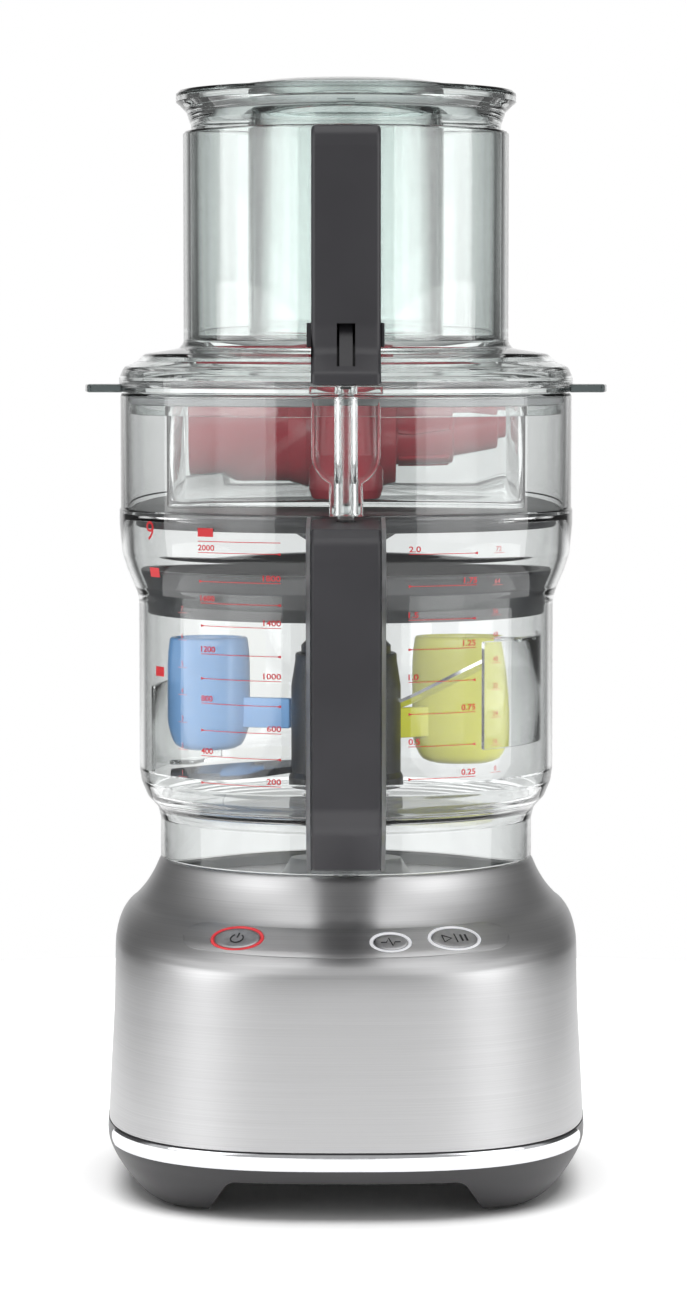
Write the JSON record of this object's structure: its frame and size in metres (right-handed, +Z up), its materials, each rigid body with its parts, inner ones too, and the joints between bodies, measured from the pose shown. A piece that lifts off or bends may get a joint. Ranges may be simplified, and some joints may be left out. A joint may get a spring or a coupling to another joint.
{
  "type": "food processor",
  "caption": "Food processor with a brushed steel base, a clear bowl with a side handle that holds its blade, discs and storage bin, and a clear lid with a wide feed chute and nested pushers.",
  "frame": {"origin": "on the surface the feet stand on, midway between the front of the handle and the back of the cord gland, 15.7 mm in front of the drive axis", "axes": "+Z up along the drive axis, -Y to the front where the handle and buttons are, +X to the right seen from the front"},
  "size_m": [0.208, 0.2284, 0.4382],
  "materials": {
    "brushed_steel": "horizontally brushed",
    "chrome": "mirror polished",
    "dark_plastic": "fine satin",
    "tray_plastic": "fine matte",
    "rubber": "matte",
    "clear_plastic": "clear polished",
    "clear_smoke": "clear polished",
    "seat_plastic": "silver grey satin",
    "panel_metal": "smooth satin",
    "button_metal": "satin",
    "ring_red": "gloss, lit red",
    "ring_white": "gloss, lit white",
    "motor_steel": "laminated",
    "copper": "enamelled copper wire",
    "cast_metal": "cast",
    "steel": "ground",
    "blade_steel": "polished stainless",
    "board_green": "solder mask",
    "board_blue": "gloss",
    "switch_black": "matte",
    "ivory_plastic": "satin",
    "fan_plastic": "matte",
    "red_clear": "translucent red",
    "blue_plastic": "satin",
    "yellow_plastic": "satin",
    "hub_plastic": "satin",
    "disc_plastic": "satin",
    "seal_grey": "satin silicone"
  },
  "bodies": {
    "base": {"base_shell": "brushed_steel", "bottom_tray": "tray_plastic", "trim_band": "chrome", "foot_pads": "rubber", "control_panel": "panel_metal", "bowl_seat": "seat_plastic", "seat_seal": "rubber", "power_ring": "ring_red", "pulse_ring": "ring_white", "start_ring": "ring_white", "motor_stator": "motor_steel", "motor_windings": "copper", "motor_bracket": "cast_metal", "upper_bearing": "steel", "lower_bearing": "steel", "motor_screws": "steel", "control_board": "board_green", "board_parts": "board_blue", "button_switches": "switch_black", "interlock_switch": "switch_black", "cord_gland": "rubber", "tray_screws": "steel"},
    "power_key": {"power_button": "button_metal"},
    "pulse_key": {"pulse_button": "button_metal"},
    "start_key": {"start_button": "button_metal"},
    "plunger": {"switch_plunger": "ivory_plastic"},
    "drive": {"rotor": "motor_steel", "drive_shaft": "steel", "cooling_fan": "fan_plastic"},
    "bowl": {"bowl": "clear_plastic", "handle_grip": "dark_plastic", "grip_screws": "steel", "dicing_grid": "blade_steel", "grid_frame": "disc_plastic", "slicing_disc": "disc_plastic", "slicing_blade": "blade_steel", "disc_hub": "hub_plastic", "accessory_bin": "clear_plastic", "disc_adaptor": "red_clear", "dicing_hub": "red_clear"},
    "handle_rod": {"bowl_actuator": "ivory_plastic"},
    "blade": {"spindle": "hub_plastic", "blade_hub": "hub_plastic", "upper_blade": "blade_steel", "lower_blade": "blade_steel", "blade_cap": "hub_plastic", "blade_guard": "clear_plastic", "blue_scraper": "blue_plastic", "yellow_scraper": "yellow_plastic"},
    "lid": {"lid": "clear_plastic", "lid_seal": "seal_grey", "lid_bar": "dark_plastic", "lid_clips": "dark_plastic"},
    "lid_rod": {"lid_actuator": "ivory_plastic"},
    "large_pusher": {"large_pusher": "clear_smoke", "pusher_top": "clear_smoke", "pusher_prong": "clear_smoke"},
    "small_pusher": {"small_pusher": "clear_smoke", "small_pusher_cap": "clear_smoke"}
  },
  "joints": [
    {"name": "motor_spin", "type": "hinge", "parent": "base", "child": "drive", "pos_m": [0, 0.0157, 0.06], "axis": [0, 0, 1], "continuous": true},
    {"name": "bowl_lift", "type": "slide", "parent": "base", "child": "bowl", "axis": [0, 0, 1], "range_m": [0, 0.2]},
    {"name": "blade_spin", "type": "hinge", "parent": "bowl", "child": "blade", "pos_m": [0, 0.0157, 0.17], "axis": [0, 0, 1], "continuous": true},
    {"name": "lid_lift", "type": "slide", "parent": "bowl", "child": "lid", "axis": [0, 0, 1], "range_m": [0, 0.15]},
    {"name": "pusher_lift", "type": "slide", "parent": "lid", "child": "large_pusher", "axis": [0, 0, 1], "range_m": [0, 0.12]},
    {"name": "small_pusher_lift", "type": "slide", "parent": "large_pusher", "child": "small_pusher", "axis": [0, 0, 1], "range_m": [0, 0.12]},
    {"name": "lid_rod_rise", "type": "slide", "parent": "lid", "child": "lid_rod", "axis": [0, 0, 1], "range_m": [0, 0.004]},
    {"name": "handle_rod_rise", "type": "slide", "parent": "bowl", "child": "handle_rod", "axis": [0, 0, 1], "range_m": [0, 0.004]},
    {"name": "plunger_rise", "type": "slide", "parent": "base", "child": "plunger", "axis": [0, 0, 1], "range_m": [0, 0.004]},
    {"name": "power_press", "type": "slide", "parent": "base", "child": "power_key", "axis": [-0.1777, -0.4752, 0.8617], "range_m": [-0.001, 0], "stiffness_N_per_m": 300},
    {"name": "pulse_press", "type": "slide", "parent": "base", "child": "pulse_key", "axis": [0.0577, -0.544, 0.8371], "range_m": [-0.001, 0], "stiffness_N_per_m": 300},
    {"name": "start_press", "type": "slide", "parent": "base", "child": "start_key", "axis": [0.1766, -0.4759, 0.8616], "range_m": [-0.001, 0], "stiffness_N_per_m": 300}
  ],
  "couplings": [
    {"joint": "blade_spin", "follows": "motor_spin", "ratio": 1},
    {"joint": "lid_rod_rise", "follows": "pusher_lift", "ratio": 0.033333},
    {"joint": "handle_rod_rise", "follows": "pusher_lift", "ratio": 0.033333},
    {"joint": "plunger_rise", "follows": "pusher_lift", "ratio": 0.033333}
  ]
}
